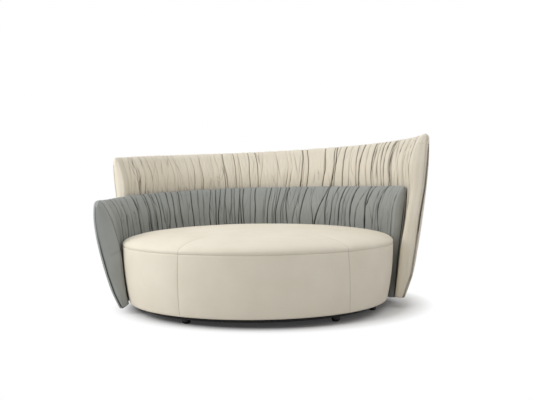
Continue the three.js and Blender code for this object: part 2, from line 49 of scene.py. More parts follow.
# Driving sizes, taken from the frame
BAND_TAPER = 34 * MM
LINING_GAP = 1 * MM
SEAT_RADIUS = -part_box("side_band")[0].y
SEAM_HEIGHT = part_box("side_band")[1].z
SKIRT_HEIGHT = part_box("side_band")[0].z
CROWN_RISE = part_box("seat_cushion")[1].z - SEAM_HEIGHT
BAND_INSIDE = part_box("drum_wall")[1].x + LINING_GAP
SKIRT_RADIUS = SEAT_RADIUS - BAND_TAPER


# Numbers and meshes

def smoothstep(low, high, value):
    share = np.clip((value - low) / (high - low), 0, 1)
    return share * share * (3 - 2 * share)


def bell(distance, width):
    """1 where the distance is 0, falling smoothly to both sides."""
    return np.exp(-((distance / width) ** 2))


def polar(radius, angle, z):
    """Points at these radii, angles in degrees and heights."""
    turn = np.radians(angle)
    return np.stack(np.broadcast_arrays(radius * np.cos(turn), radius * np.sin(turn), z), axis=-1)


def waves(rng, count, length, rows, shortest, longest, sines=3):
    """Smooth repeatable noise of about -1 to 1 for each of count lines, at rows that are shares of
    the length."""
    total = np.zeros((count, len(rows)))
    for _ in range(sines):
        wavelength = rng.uniform(shortest, longest, (count, 1))
        phase = rng.uniform(0, math.tau, (count, 1))
        total += np.sin(math.tau * rows * length / wavelength + phase)
    return total / sines


def curve(points, u):
    """Position and direction at step u along smooth curves through points (curves, points, 2)."""
    steps = np.diff(points, axis=1)
    lengths = np.linalg.norm(steps, axis=2, keepdims=True)
    slopes = steps / lengths
    before, after = lengths[:, :-1], lengths[:, 1:]
    between = (slopes[:, :-1] * after + slopes[:, 1:] * before) / (before + after)
    tangents = np.concatenate([slopes[:, :1], between, slopes[:, -1:]], axis=1)
    k = min(int(u), points.shape[1] - 2)
    t = u - k
    start, end = points[:, k], points[:, k + 1]
    leave, arrive = tangents[:, k] * lengths[:, k], tangents[:, k + 1] * lengths[:, k]
    position = ((2 * t**3 - 3 * t**2 + 1) * start + (t**3 - 2 * t**2 + t) * leave
                + (3 * t**2 - 2 * t**3) * end + (t**3 - t**2) * arrive)
    direction = ((6 * t**2 - 6 * t) * (start - end) + (3 * t**2 - 4 * t + 1) * leave
                 + (3 * t**2 - 2 * t) * arrive)
    return position, direction / np.linalg.norm(direction, axis=1, keepdims=True)


def add_object(name, data):
    made = bpy.data.objects.new(name, data)
    scene.collection.objects.link(made)
    return made


def make_object(name, points, faces, material, painted_shade=None):
    mesh = bpy.data.meshes.new(name)
    mesh.from_pydata(points.reshape(-1, 3).tolist(), [], faces)
    # Each point's share of painted shade, which the leather materials mix towards their deep colour
    if painted_shade is not None:
        attribute = mesh.attributes.new("painted_shade", "FLOAT", "POINT")
        attribute.data.foreach_set("value", painted_shade.reshape(-1).astype(np.float32))
    work = bmesh.new()
    work.from_mesh(mesh)
    bmesh.ops.remove_doubles(work, verts=work.verts, dist=0.02 * MM)
    bmesh.ops.recalc_face_normals(work, faces=work.faces)
    work.to_mesh(mesh)
    work.free()
    mesh.polygons.foreach_set("use_smooth", [True] * len(mesh.polygons))
    mesh.materials.append(material)
    return add_object(name, mesh)


def skin(name, grid, material, painted_shade=None, around=False, loop=True):
    """Quads over a grid of sections, (sections, points, 3). The sections may go around and meet,
    and each may be a loop. Loops that don't go around get one face at each end."""
    sections, points = grid.shape[:2]
    faces = []
    for s in range(sections if around else sections - 1):
        here, there = s * points, ((s + 1) % sections) * points
        for p in range(points if loop else points - 1):
            q = (p + 1) % points
            faces.append((here + p, here + q, there + q, there + p))
    if loop and not around:
        last = (sections - 1) * points
        faces.append(tuple(range(points)))
        faces.append(tuple(range(last, last + points)))
    return make_object(name, grid, faces, MATERIALS[material], painted_shade)


# Materials

def feed(tree, value, socket):
    """Links an output to the socket, or sets the socket's own value."""
    if isinstance(value, bpy.types.NodeSocket):
        tree.links.new(value, socket)
    else:
        socket.default_value = value


def feed_all(tree, node, inputs):
    for key, value in inputs.items():
        feed(tree, value, node.inputs[key])


def add_node(tree, kind, inputs, **settings):
    made = tree.nodes.new("ShaderNode" + kind)
    for key, value in settings.items():
        setattr(made, key, value)
    feed_all(tree, made, inputs)
    return made.outputs


def linear(code):
    """A hex colour as linear RGBA, by the standard curve."""
    channels = [int(code[i:i + 2], 16) / 255 for i in (1, 3, 5)]
    curved = [c / 12.92 if c <= 0.04045 else ((c + 0.055) / 1.055) ** 2.4 for c in channels]
    return (*curved, 1)


def start_material(name):
    material = bpy.data.materials.new(name)
    material.use_nodes = True
    tree = material.node_tree
    position = add_node(tree, "TexCoord", {})["Object"]
    return material, tree, tree.nodes["Principled BSDF"], position


def noise(tree, position, scale, detail, stretch=None):
    if stretch:
        mapping = {"Vector": position, "Scale": stretch}
        position = add_node(tree, "Mapping", mapping)["Vector"]
    inputs = {"Vector": position, "Scale": scale, "Detail": detail}
    return add_node(tree, "TexNoise", inputs)["Fac"]


def cells(tree, position, scale, **settings):
    inputs = {"Vector": position, "Scale": scale}
    return add_node(tree, "TexVoronoi", inputs, **settings)["Distance"]


def remap(tree, value, low, high, source=(0.3, 0.7)):
    return add_node(tree, "MapRange", {
        "Value": value, "From Min": source[0], "From Max": source[1], "To Min": low, "To Max": high,
    })["Result"]


def mix_colours(tree, factor, first, second):
    made = tree.nodes.new("ShaderNodeMix")
    made.data_type = "RGBA"
    sockets = [socket for socket in made.inputs if socket.enabled]
    for socket, value in zip(sockets, (factor, first, second)):
        feed(tree, value, socket)
    return [output for output in made.outputs if output.enabled][0]


def bump(tree, height, distance, strength, **normal):
    inputs = {"Height": height, "Distance": distance, "Strength": strength, **normal}
    return add_node(tree, "Bump", inputs)["Normal"]


def leather(name, base, pale, deep):
    """Semi-matt pebbled leather. Its painted_shade attribute mixes in the deep colour: painted
    shade deep in folds, seams and grooves, and low on the pads.
    """
    material, tree, surface, position = start_material(name)
    clouds = remap(tree, noise(tree, position, scale=6, detail=4), 0, 1)
    colour = mix_colours(tree, clouds, linear(base), linear(pale))
    painted_shade = add_node(tree, "Attribute", {}, attribute_name="painted_shade")["Fac"]
    pebbles = cells(tree, position, scale=620, feature="SMOOTH_F1")
    grain = bump(tree, pebbles, distance=0.5 * MM, strength=0.35)
    fine = noise(tree, position, scale=120, detail=3)
    sheen = noise(tree, position, scale=40, detail=3)
    feed_all(tree, surface, {
        "Base Color": mix_colours(tree, painted_shade, colour, linear(deep)),
        "Roughness": remap(tree, sheen, low=0.44, high=0.58),
        "Specular IOR Level": 0.35,
        "Normal": bump(tree, fine, distance=0.6 * MM, strength=0.3, Normal=grain),
    })
    return material


def foam():
    material, tree, surface, position = start_material("foam")
    pores = cells(tree, position, scale=400)
    shade = remap(tree, pores, 0, 1, source=(0, 0.6))
    feed_all(tree, surface, {
        "Base Color": mix_colours(tree, shade, linear("#CDBF83"), linear("#E6DCAE")),
        "Roughness": 0.95,
        "Normal": bump(tree, pores, distance=1 * MM, strength=0.5),
    })
    return material


def grained(name, dark, light, roughness, scale, detail, relief, stretch=None, metallic=0):
    """A material whose colour, roughness and relief follow one noise. The relief is the bump's
    distance and strength."""
    material, tree, surface, position = start_material(name)
    grain = noise(tree, position, scale, detail, stretch)
    feed_all(tree, surface, {
        "Base Color": mix_colours(tree, remap(tree, grain, 0, 1), linear(dark), linear(light)),
        "Roughness": remap(tree, grain, *roughness),
        "Metallic": metallic,
        "Normal": bump(tree, grain, *relief),
    })
    return material


# The pads' leather is a little paler than the smooth leather of the same slot: painted light, a
# brighter copy that makes up for light the pads lack inside the bowl. Each leather's third colour
# is its painted shade.
STEEL = {"scale": 60, "detail": 4, "relief": (0.1 * MM, 0.2), "metallic": 1}
PLASTIC = {"scale": 700, "detail": 2, "relief": (0.1 * MM, 0.3)}
MATERIALS = {made.name.split(".")[0]: made for made in (
    leather("cream_leather", "#E3DAC8", "#E9E1D0", "#544A3A"),
    leather("cream_gathers", "#EFE6D4", "#F3EBDB", "#544A3A"),
    leather("grey_leather", "#989B98", "#A0A3A0", "#1A1D1C"),
    leather("grey_gathers", "#9B9E9B", "#A3A6A3", "#1A1D1C"),
    foam(),
    grained("plywood", "#A67E4D", "#C9A26D", (0.6, 0.75), scale=8, detail=6,
            relief=(0.5 * MM, 0.3), stretch=(1, 1, 14)),
    grained("black_board", "#161617", "#222223", (0.65, 0.8), scale=260, detail=2,
            relief=(0.3 * MM, 0.4)),
    grained("black_steel", "#2A2C2E", "#35383A", (0.38, 0.5), stretch=(1, 1, 10), **STEEL),
    grained("zinc_steel", "#A9ADB0", "#BEC2C4", (0.28, 0.4), stretch=(10, 1, 1), **STEEL),
    grained("black_plastic", "#0C0C0D", "#141415", (0.35, 0.45), **PLASTIC),
    grained("pale_plastic", "#CFCDC4", "#DCDAD2", (0.4, 0.5), **PLASTIC),
)}


# Seat

PANEL_SEAMS = (-121.0, -54.3)
SEAM_STEPS = (0.08, 0.16, 0.25, 0.4, 0.6, 0.9, 1.3, 2.0)
STITCH_GROOVE = 1.4 * MM
STITCH_WIDTH = 2.2 * MM
EDGE_ROLL = 2.2 * MM
EDGE_SEAM_SHADE = 0.12

# The cushion. Its outline is given as shares of radius and rise, a seam's dip is as deep as it
# gets from DIP_RISE up, and its line fades towards the middle.
CUSHION_CROWDING = 1.6
CUSHION_GAP = 0.4 * MM
CROWN = (
    (1, 0.13), (0.988, 0.26), (0.963, 0.38), (0.924, 0.48), (0.86, 0.59),
    (0.747, 0.71), (0.62, 0.79), (0.4, 0.91), (0.2, 0.98), (0, 1),
)
ROLL_SHARE = 0.3
ROLL_RISE = 0.045
SEAM_DIP = 4 * MM
SEAM_DIP_LENGTH = 400 * MM
DIP_RISE = 0.38
LINE_RISE = 0.1
LINE_FADE = (0.45, 0.95)
LINE_LEAST = 0.25
CUSHION_SEAM_SHADE = 0.25
EDGE_SHADE_RISE = 4 * MM
UNEVEN = 2.2 * MM
UNEVEN_LENGTHS = (0.16, 0.5)
UNEVEN_RISE = 0.5

# The side band. Its two seams lean by these angles at the bottom, and pull the leather in.
BAND_CORNER = 8 * MM
BAND_CORNER_TURNS = (0, 25, 50, 70)
BAND_ROLL_HEIGHT = 5 * MM
BAND_SEAM_LEAN = (-1.6, 3.0)
BAND_SEAM_SHADE = 0.3
BAND_PULL = 1.6 * MM
BAND_RIPPLE = 0.5 * MM
BAND_RIPPLE_LENGTHS = (0.12, 0.3)

FOAM_CORNER = 6 * MM
FOAM_SHRINK = 0.997


def seam_distance(radius, angle):
    """Distance across to the nearest seam of the seat's top panels."""
    turns = [np.radians(angle - seam) for seam in PANEL_SEAMS]
    across = [np.where(np.cos(t) > 0, np.abs(radius * np.sin(t)), radius) for t in turns]
    return np.minimum(*across)


def column_angles(step):
    """Angles round the seat, closer together beside each seam."""
    beside = np.array(SEAM_STEPS)
    offsets = np.concatenate([-beside[::-1], [0], beside])
    angles = np.arange(-180, 180, step)
    for seam in PANEL_SEAMS:
        angles = angles[np.abs(angles - seam) > beside[-1] + step / 2]
        angles = np.concatenate([angles, seam + offsets])
    return np.sort(angles)


def unevenness(rng, points, sines=12):
    """Gentle repeatable waves over points in plan, about -1 to 1."""
    total = np.zeros(points.shape[:-1])
    for _ in range(sines):
        wavelength = rng.uniform(*UNEVEN_LENGTHS)
        turn, phase = rng.uniform(0, math.tau, 2)
        along = points[..., 0] * math.cos(turn) + points[..., 1] * math.sin(turn)
        total += np.sin(math.tau * along / wavelength + phase)
    return total / sines


def crown_profile():
    """The cushion's top from its edge seam to the middle, as radii and rises."""
    roll = EDGE_ROLL / SEAT_RADIUS
    shares = np.array([(1 - roll, 0), (1 - roll * ROLL_SHARE, ROLL_RISE), *CROWN])
    points = shares * (SEAT_RADIUS, CROWN_RISE)
    lengths = np.linalg.norm(np.diff(points, axis=0), axis=1)
    along = np.concatenate([[0], np.cumsum(lengths)])
    places = np.linspace(0, 1, num=70) ** CUSHION_CROWDING * along[-1]
    steps = np.interp(places, along, np.arange(len(points)))
    return np.array([curve(points[None], u)[0][0] for u in steps])


def seat_cushion():
    rng = np.random.default_rng(seed=5)
    angles = column_angles(step=1.5)[:, None]
    radius, rise = crown_profile().T[:, None, :]
    across = seam_distance(radius, angles)
    fade = smoothstep(SEAT_RADIUS - SEAM_DIP_LENGTH, SEAT_RADIUS, radius)
    edge = np.minimum(1, rise / (DIP_RISE * CROWN_RISE))
    dip = SEAM_DIP * fade * edge * bell(across, width=26 * MM)
    outward = smoothstep(*LINE_FADE, radius / SEAT_RADIUS)
    line = bell(across, STITCH_WIDTH) * smoothstep(0, LINE_RISE, edge)
    line *= LINE_LEAST + (1 - LINE_LEAST) * outward
    bottom_height = SEAM_HEIGHT + CUSHION_GAP
    top = polar(radius, angles, bottom_height + rise)
    uneven = unevenness(rng, top) * UNEVEN * smoothstep(0, UNEVEN_RISE, rise / CROWN_RISE)
    top[..., 2] += uneven - dip - STITCH_GROOVE * line
    # Painted shade along the panel seams and where the crown meets its edge seam
    at_edge = 1 - smoothstep(0, EDGE_SHADE_RISE, rise)
    painted_shade = CUSHION_SEAM_SHADE * line + EDGE_SEAM_SHADE * at_edge
    bottom = polar(np.array([0, SEAT_RADIUS - EDGE_ROLL]), angles, bottom_height)
    grid = np.concatenate([bottom, top[:, 1:]], axis=1)
    shade = np.concatenate([np.zeros((len(angles), 2)), painted_shade[:, 1:]], axis=1)
    return skin("seat_cushion_leather", grid, "cream_leather", shade, around=True, loop=False)


def side_band():
    """Leather round the base. Its two seams lean a little as they go down."""
    rng = np.random.default_rng(seed=9)
    angles = column_angles(step=1.0)[:, None]
    height = SEAM_HEIGHT - SKIRT_HEIGHT
    z = SKIRT_HEIGHT + BAND_CORNER + np.linspace(0, 1, num=60) * (height - BAND_CORNER)
    rise = (z - SKIRT_HEIGHT) / height
    radius = SKIRT_RADIUS + BAND_TAPER * (1 - (1 - rise) ** 2)
    roll = EDGE_ROLL * np.clip(1 - (SEAM_HEIGHT - z) / BAND_ROLL_HEIGHT, 0, 1) ** 2
    across = seam_distance(radius, angles)
    line = bell(across, STITCH_WIDTH)
    pull = BAND_PULL * bell(across, width=20 * MM)
    length = math.tau * SEAT_RADIUS
    ripple = waves(rng, 1, length, angles[:, 0] / 360, *BAND_RIPPLE_LENGTHS).T * BAND_RIPPLE
    leans = zip(PANEL_SEAMS, BAND_SEAM_LEAN)
    turned = sum(lean * (1 - rise) * bell(angles - seam, width=9) for seam, lean in leans)
    wall = polar(radius - roll - STITCH_GROOVE * line - pull + ripple, angles + turned, z)
    turn = np.radians(BAND_CORNER_TURNS)
    under_radius = SKIRT_RADIUS - BAND_CORNER + BAND_CORNER * np.sin(turn)
    under_height = SKIRT_HEIGHT + BAND_CORNER * (1 - np.cos(turn))
    under = polar(under_radius, angles + turned[:, :1], under_height)
    inside = polar(BAND_INSIDE, angles, np.array([SEAM_HEIGHT, SKIRT_HEIGHT]))
    grid = np.concatenate([under, wall, inside], axis=1)
    shade = np.zeros(grid.shape[:2])
    # Painted shade along the band's seams and at its rolled top edge
    wall_shade = BAND_SEAM_SHADE * line + EDGE_SEAM_SHADE * roll / EDGE_ROLL
    shade[:, len(turn):len(turn) + len(z)] = wall_shade
    return skin("side_band_leather", grid, "cream_leather", shade, around=True)


def seat_foam():
    low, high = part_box("seat_foam")
    middle = high.x - FOAM_CORNER
    turns = np.radians(np.linspace(0, 90, num=5))
    rounded = [(FOAM_CORNER * math.sin(t), FOAM_CORNER * (1 - math.cos(t))) for t in turns]
    rim = [(middle + out, low.z + up) for out, up in rounded]
    rim += [(middle + out, high.z - down) for out, down in reversed(rounded)]
    radius, z = np.array([(0, low.z), *rim, (0, high.z)]).T
    angles = np.arange(0, 360, step=6)
    grid = polar(radius * FOAM_SHRINK, angles[:, None], z)
    return skin("seat_foam_slab", grid, "foam", around=True, loop=False)


# Outlines of the backs. Angles run from the right end to the left one, as seen from the front, and
# lengths are in mm. What the keys mean:
#   blend: angles over which the middle's section turns into the shaped end's
#   ridge: (angle, share of the peak)
#   inner, outer: offsets of the two faces from the seat's edge, at FACE_LEVELS
#   cover, slope: the rear cover's thickness, and how much higher the inner face begins
#   arms, arm_top: angles of the frame's uprights, and their height in metres
#   rear_seams: angles of the rear cover's seams
#   folds, spacing: angles of the first and last line, and (angle, usual gap)
#   lean: degrees that lines lean at either end, from share lean_from up
#   tucks, gathers: short creases to a metre, and number of ladders of them
#   bold, depth: (angle, share of deep lines) and (angle, depth of all lines)
#   covered: heights over which the painted shade low on a pad fades out
#   rounding, corner: of an end's top corner and of its upright one
#   seam, dip: strength of an end's seam, and how far the leather swells beside it
#   welt: distance of a welt from the seam, darkened with painted shade
#   edge_line: heights over which the painted shade line beside the rear cover fades out
#   cap_seam, wrinkle: share across an end where a seam runs, and a wrinkle's heights
FACE_LEVELS = (0, 0.14, 0.32, 0.5, 0.68, 0.84, 0.94)
LAST_LEVEL = len(FACE_LEVELS) - 1
HIDDEN_LEVELS = [0, 2, 4, 6]
RIDGE_SHOULDER = (0.66, 0.82)
RIDGE_WIDTH = (0.47, 0.3)
RIDGE_STEPS = 4
RIDGE_EASE = (-6, -3, 0, 3, 6)
LIP_RISE = 1 * MM
END_LENGTH = 38 * MM
TRIM = math.degrees(END_LENGTH / SEAT_RADIUS)
COVER_TAPER = (-0.45, -0.36, 0.2, 0.55, -0.2, -0.4, -0.45)

INNER_BACK = dict(
    name="inner_back", colour="grey", seed=7,
    start=2, end=197, blend=(172, 197), peak=665,
    ridge=((2, 1), (100, 0.988), (145, 0.95), (180, 0.917), (197, 0.919)),
    middle=dict(
        inner=(-9, -2, 5, 11, 20, 33, 54), outer=(32, 43, 53, 66, 81, 94, 99),
        ridge=83, cover=8, slope=0,
    ),
    shaped=dict(
        inner=(-27, -17, -4, 6, 31, 60, 89), outer=(25, 62, 96, 123, 144, 154, 153),
        ridge=124, cover=9, slope=18,
    ),
    arms=(168, 38), arm_top=0.31, rear_seams=(68, 132), folds=(6.6, 191),
    spacing=((2, 68), (45, 58), (65, 44), (115, 40), (140, 50), (194, 62)),
    lean=(3.4, 2.6), lean_from=0.7, tucks=34, gathers=10, covered=(400, 560),
    bold=((0, 0.6), (50, 0.6), (75, 0.5), (115, 0.45), (140, 0.5), (194, 0.5)),
    depth=((0, 1), (60, 0.9), (110, 0.85), (150, 0.9), (194, 0.8)),
    right=dict(rounding=5, corner=10, seam=0.3, dip=2, edge_line=(500, 620)),
    left=dict(
        rounding=32, corner=30, seam=0.5, dip=3, edge_line=(270, 520),
        welt=19, wrinkle=(345, 305),
    ),
)
OUTER_BACK = dict(
    name="outer_back", colour="cream", seed=23,
    start=-11, end=158.5, blend=(1, -11), peak=948,
    ridge=((-11, 1.005), (18, 0.993), (50, 0.972), (87, 0.948), (139, 0.919), (158.5, 0.9)),
    middle=dict(
        inner=(42, 55, 72, 93, 105, 112, 137), outer=(62, 95, 128, 154, 173, 187, 192),
        ridge=165, cover=8, slope=0,
    ),
    shaped=dict(
        inner=(4, 20, 40, 71, 97, 110, 130), outer=(61, 105, 136, 161, 182, 195, 198),
        ridge=177, cover=19, slope=0,
    ),
    arms=(147, 25), arm_top=0.41, rear_seams=(42, 106), folds=(2.2, 153.6),
    spacing=((0, 62), (30, 56), (60, 48), (90, 38), (155, 32)),
    lean=(4.2, 2.0), lean_from=0.79, tucks=60, gathers=7, covered=(600, 780),
    bold=((0, 0.65), (45, 0.6), (75, 0.42), (110, 0.3), (155, 0.25)),
    depth=((0, 1), (60, 0.9), (95, 0.6), (130, 0.4), (155, 0.3)),
    right=dict(rounding=24, corner=30, seam=0.15, dip=1.5, edge_line=(760, 900), cap_seam=0.8),
    left=dict(rounding=9, corner=16, seam=0.2, dip=1.5, edge_line=(450, 620)),
)


def along(back, key, angle):
    """Value at these angles from a table of (angle, value)."""
    return np.interp(angle, *np.transpose(back[key]))


def top_height(back, angle):
    """Height of the ridge, eased where its slope changes."""
    shares = [along(back, "ridge", angle + d) for d in RIDGE_EASE]
    return back["peak"] * MM * np.mean(shares, axis=0)


def face_points(back, angle):
    """Outlines of the inner and outer face at these angles, (angles, levels, 2), the ridge point
    and the cover's thickness, (angles, 1)."""
    share = smoothstep(*back["blend"], angle)
    top = top_height(back, angle)
    heights = back["bottom"] + (top - back["bottom"])[:, None] * np.array(FACE_LEVELS)

    def blend(key):
        middle, shaped = (np.atleast_1d(back[part][key]) for part in ("middle", "shaped"))
        return (middle + (shaped - middle) * share[:, None]) * MM

    inner = np.stack([SEAT_RADIUS + blend("inner"), heights], axis=2)
    inner[:, :1, 1] += blend("slope")
    outer = np.stack([SEAT_RADIUS + blend("outer"), heights], axis=2)
    ridge = np.stack([SEAT_RADIUS + blend("ridge")[:, 0], top], axis=1)
    return inner, outer, ridge, blend("cover")


def front_points(back, angle):
    """Control points of the visible front: up the inner face and over the ridge to the lip."""
    inner, outer, ridge, _ = face_points(back, angle)
    edge, lip = inner[:, -1], outer[:, -1] + (0, LIP_RISE)
    before = edge + (ridge - edge) * (RIDGE_WIDTH[0], RIDGE_SHOULDER[0])
    after = lip + (ridge - lip) * (RIDGE_WIDTH[1], RIDGE_SHOULDER[1])
    return np.concatenate([inner, np.stack([before, ridge, after, lip], axis=1)], axis=1)


def hidden_points(back, angle, gap):
    """The rear cover's inner side less this gap, at every level. It is straight between the hidden
    levels along the shell, and follows the tapering cover past it."""
    _, outer, _, cover = face_points(back, angle)
    past = np.maximum(back["start"] + TRIM - angle, angle - back["end"] + TRIM) / TRIM
    past = np.clip(past, 0, 1)[:, None]
    straight = [
        np.interp(z, z[HIDDEN_LEVELS], r[HIDDEN_LEVELS]) for r, z in np.moveaxis(outer, 2, 1)
    ]
    spare = (cover - back["middle"]["cover"] * MM) * past
    hidden = outer.copy()
    hidden[..., 0] = straight + (outer[..., 0] - straight) * past
    hidden[..., 0] -= cover - spare * (1 - np.array(COVER_TAPER)) + gap
    return hidden


def between_levels(points, u):
    """Points at step u along the straight runs from level to level."""
    k = min(int(u), LAST_LEVEL - 1)
    return points[:, k] + (points[:, k + 1] - points[:, k]) * (u - k)


# Folds of a gathered pad. A fold line is a dent with a narrow slot along its bottom and a lip on
# one side, and the leather bulges between two lines. Shares run up the front, 0 to 1.
FOLD_RADIUS = 810 * MM
ROWS_PER_LEVEL = 14
ROWS_ON_RIDGE = 7
COLUMN_STEP = 2.4 * MM
COLUMNS_PER_FOLD = (6, 34)

# Where the lines run
FOLD_SIZES = (0.3, 0.55, 0.85, 1.2, 1.7)
FOLD_SIZE_CHANCES = (0.24, 0.24, 0.24, 0.18, 0.1)
CLOSEST_FOLDS = 0.03
WIDTH_CHANGE = 0.16
WIDTH_WAVES = (0.3, 1.1)
CLOSING_CHANCE = 0.36
CLOSING_PLACE = (0.3, 0.9)
CLOSING_REACH = (0.12, 0.35)
CLOSING_SHARE = 0.9
WANDER = 0.28
WANDER_WAVES = (0.14, 0.5)
RIDGE_SHARE = 0.94
ARCH_MOST = 1.2
ARCH_BELOW = 0.3
ARCH_BELOW_MOST = 1.5

# How strong each line is
BOLD_STRENGTH = (0.85, 1.0)
FAINT_STRENGTHS = (0.2, 0.35, 0.55)
SWELL_MIDDLE = 0.75
SWELL_CHANGE = 0.5
SWELL_WAVES = (0.25, 0.8)
SWELL_OF_BOLD = 0.25
SWELL_RANGE = (0.12, 1.1)
FIRST_LINE_STRENGTH = 1.4
LINE_END = (0.97, 1.0)
LINE_END_LOSS = 0.9

# The relief of the lines and between them
FOLD_DENT = 3 * MM
FOLD_DENT_WIDTH = 4 * MM
FOLD_SLOT = 6 * MM
LINES_FELT = range(-2, 4)
DENT_SHARPNESS = 4
FOLD_BULGE = 5.5 * MM
FULL_BULGE = 60 * MM
WIDEST_FOLDS = 0.45
LIP = 3 * MM
LIP_PLACE = 6 * MM
RIPPLE = 1.8 * MM
RIPPLE_LENGTHS = (13, 32)
RIPPLE_PATCHES = (90, 210)
RIPPLE_SLANT = 0.12
RIPPLE_DRIFT = 0.6
SUNK = 3.5 * MM
MOST_LIFT = 3.3 * MM
RIDGE_CALM = 0.35
CALM_FROM = (0.8, 0.9)
RELIEF_END = (0.93, 1.0)
TUCKS_END = (0.93, 0.98)
TUCKS_FROM_END = 0.8
CALM_WIDTH = 1
FULL_DEPTH_ROOM = 26 * MM
LEAST_DEPTH = 0.05
# Painted shade low on a pad, where it lies deep behind the seat or the inner back
DEEP_SHADE = 0.18

# Tucks are short single creases, and gathers are ladders of shorter ones. Places and lengths are
# in metres, a slope is metres across for each metre up, and widths and depths are in mm.
TUCK_MARGIN = 0.03
TUCK_HEIGHTS = (0.12, 0.93)
TUCK_HALF_LENGTHS = (0.03, 0.13)
TUCK_SLOPE = 0.2
TUCK_BEND = 0.9
TUCK_WIDTHS = (2.0, 4.2)
TUCK_DEPTHS = (1.5, 5.0)
GATHER_MARGIN = 0.1
GATHER_HEIGHTS = (0.4, 0.85)
GATHER_SLOPES = (0.45, 0.9)
GATHER_WAYS = (0.25, 0.75)
GATHER_RUNGS = (4, 8)
RUNG_SHIFT = 1.5
RUNG_SPACINGS = (9, 12)
RUNG_HALF_LENGTHS = (11, 18)
RUNG_WIDTH = 2
RUNG_DEPTHS = (3, 4.5)
TUCK_REACH = 0.25
TUCK_EDGE_POWER = 1.3
TUCK_BANK = 0.3
TUCK_FULL_SHADE = 9 * MM

# Room behind a pad for the uprights of its frame
ARM_CLEARANCE = 13 * MM
ARM_SIDE_FADE = (29 * MM, 51 * MM)
ARM_TOP_FADE = 35 * MM
PAD_REAR_RISE = 1 * MM


def front_rows():
    face = np.linspace(0, LAST_LEVEL, LAST_LEVEL * ROWS_PER_LEVEL + 1)
    top = LAST_LEVEL + RIDGE_STEPS
    ridge = np.linspace(LAST_LEVEL, top, RIDGE_STEPS * ROWS_ON_RIDGE + 1)[1:]
    return np.concatenate([face, ridge])


def row_shares(back, rows):
    """How far along the front each row lies, 0 to 1, and the front's length."""
    middle = np.array([(back["start"] + back["end"]) / 2])
    points = front_points(back, middle)
    path = np.array([curve(points, u)[0][0] for u in rows])
    along = np.concatenate([[0], np.cumsum(np.linalg.norm(np.diff(path, axis=0), axis=1))])
    return along / along[-1], along[-1]


def arm_recess(back, angle, z):
    """How much thinner the pad is where an upright of the frame lies behind it."""
    first, second = (np.abs(np.radians(angle - arm)) * SEAT_RADIUS for arm in back["arms"])
    beside = 1 - smoothstep(*ARM_SIDE_FADE, np.minimum(first, second))
    below = 1 - smoothstep(back["arm_top"], back["arm_top"] + ARM_TOP_FADE, z)
    return beside * below * ARM_CLEARANCE


def line_gaps(back, rng, shares, length):
    """Degrees from each fold line to the next, (gaps, rows). Some close up towards one end."""
    first, last = back["folds"]
    widths = []
    place = first
    while place < last:
        size = rng.choice(FOLD_SIZES, p=FOLD_SIZE_CHANCES)
        widths.append(math.degrees(along(back, "spacing", place) * MM * size / FOLD_RADIUS))
        place += widths[-1]
    widths = np.array(widths) * (last - first) / sum(widths)
    count = len(widths)
    change = WIDTH_CHANGE * waves(rng, count, length, shares, *WIDTH_WAVES)
    gaps = widths[:, None] * np.exp(change)
    for i in range(1, count - 1):
        if rng.random() < CLOSING_CHANCE:
            level, reach = rng.uniform(*CLOSING_PLACE), rng.uniform(*CLOSING_REACH)
            closing = smoothstep(level - reach, level + reach, shares)
            lost = gaps[i] * CLOSING_SHARE * (closing if rng.random() < 0.5 else 1 - closing)
            gaps[i] -= lost
            gaps[i - 1] += lost / 2
            gaps[i + 1] += lost / 2
    return gaps


def fold_lines(back, rng, shares, length):
    """Angles of the fold lines, (lines, rows), with the pad's two ends as first and last. They
    lean towards the ends as they go over the ridge."""
    start, end = back["start"] + TRIM, back["end"] - TRIM
    first, last = back["folds"]
    gaps = line_gaps(back, rng, shares, length)
    edges = np.concatenate([np.zeros((1, len(shares))), np.cumsum(gaps, axis=0)])
    lines = first + (last - first) * edges / edges[-1]
    side = (2 * lines - start - end) / (end - start)
    above = (shares - back["lean_from"]) / (RIDGE_SHARE - back["lean_from"])
    arch = np.where(above > 0, np.minimum(above, ARCH_MOST) ** 2,
                    ARCH_BELOW * np.minimum(above**2, ARCH_BELOW_MOST))
    lean = np.where(side < 0, back["lean"][0], back["lean"][1]) * side * arch
    wander = WANDER * waves(rng, len(lines), length, shares, *WANDER_WAVES) * (1 - side**8)
    row = np.ones((1, len(shares)))
    lines = np.concatenate([row * start, lines + lean + wander, row * end])
    for i in range(1, len(lines)):
        furthest = end - (len(lines) - 1 - i) * CLOSEST_FOLDS
        lines[i] = np.clip(lines[i], lines[i - 1] + CLOSEST_FOLDS, furthest)
    return lines


def fold_columns(lines):
    """Columns that follow the fold lines, closer together beside each line: the gap that each is
    in, and how far across it, 0 to pi."""
    fold, phase = [], []
    for i, gap in enumerate(np.max(np.diff(lines, axis=0), axis=1)):
        steps = round(np.radians(gap) * FOLD_RADIUS / COLUMN_STEP)
        steps = int(np.clip(steps, *COLUMNS_PER_FOLD))
        fold += [i] * steps
        phase += [math.pi * j / steps for j in range(steps)]
    return np.array([*fold, len(lines) - 2]), np.array([*phase, math.pi])


def line_strengths(back, rng, lines, length, shares):
    """How deep each fold line is along its rows, about 0 to 1. Many fade out and come back."""
    count = len(lines)
    middle = lines.mean(axis=1)
    bold = rng.random(count) < along(back, "bold", middle)
    base = np.where(bold, rng.uniform(*BOLD_STRENGTH, count), rng.choice(FAINT_STRENGTHS, count))
    base = (base * along(back, "depth", middle))[:, None]
    swell = SWELL_MIDDLE + SWELL_CHANGE * waves(rng, count, length, shares, *SWELL_WAVES)
    strength = base * np.clip(swell + SWELL_OF_BOLD * bold[:, None], *SWELL_RANGE)
    strength[1] = FIRST_LINE_STRENGTH
    strength[0], strength[-1] = back["right"]["seam"], back["left"]["seam"]
    return strength * (1 - LINE_END_LOSS * smoothstep(*LINE_END, shares))


def spread(angle):
    """How much wider a fold line is where the back turns forward."""
    return 1 / np.clip(np.abs(np.sin(np.radians(angle))), WIDEST_FOLDS, 1)


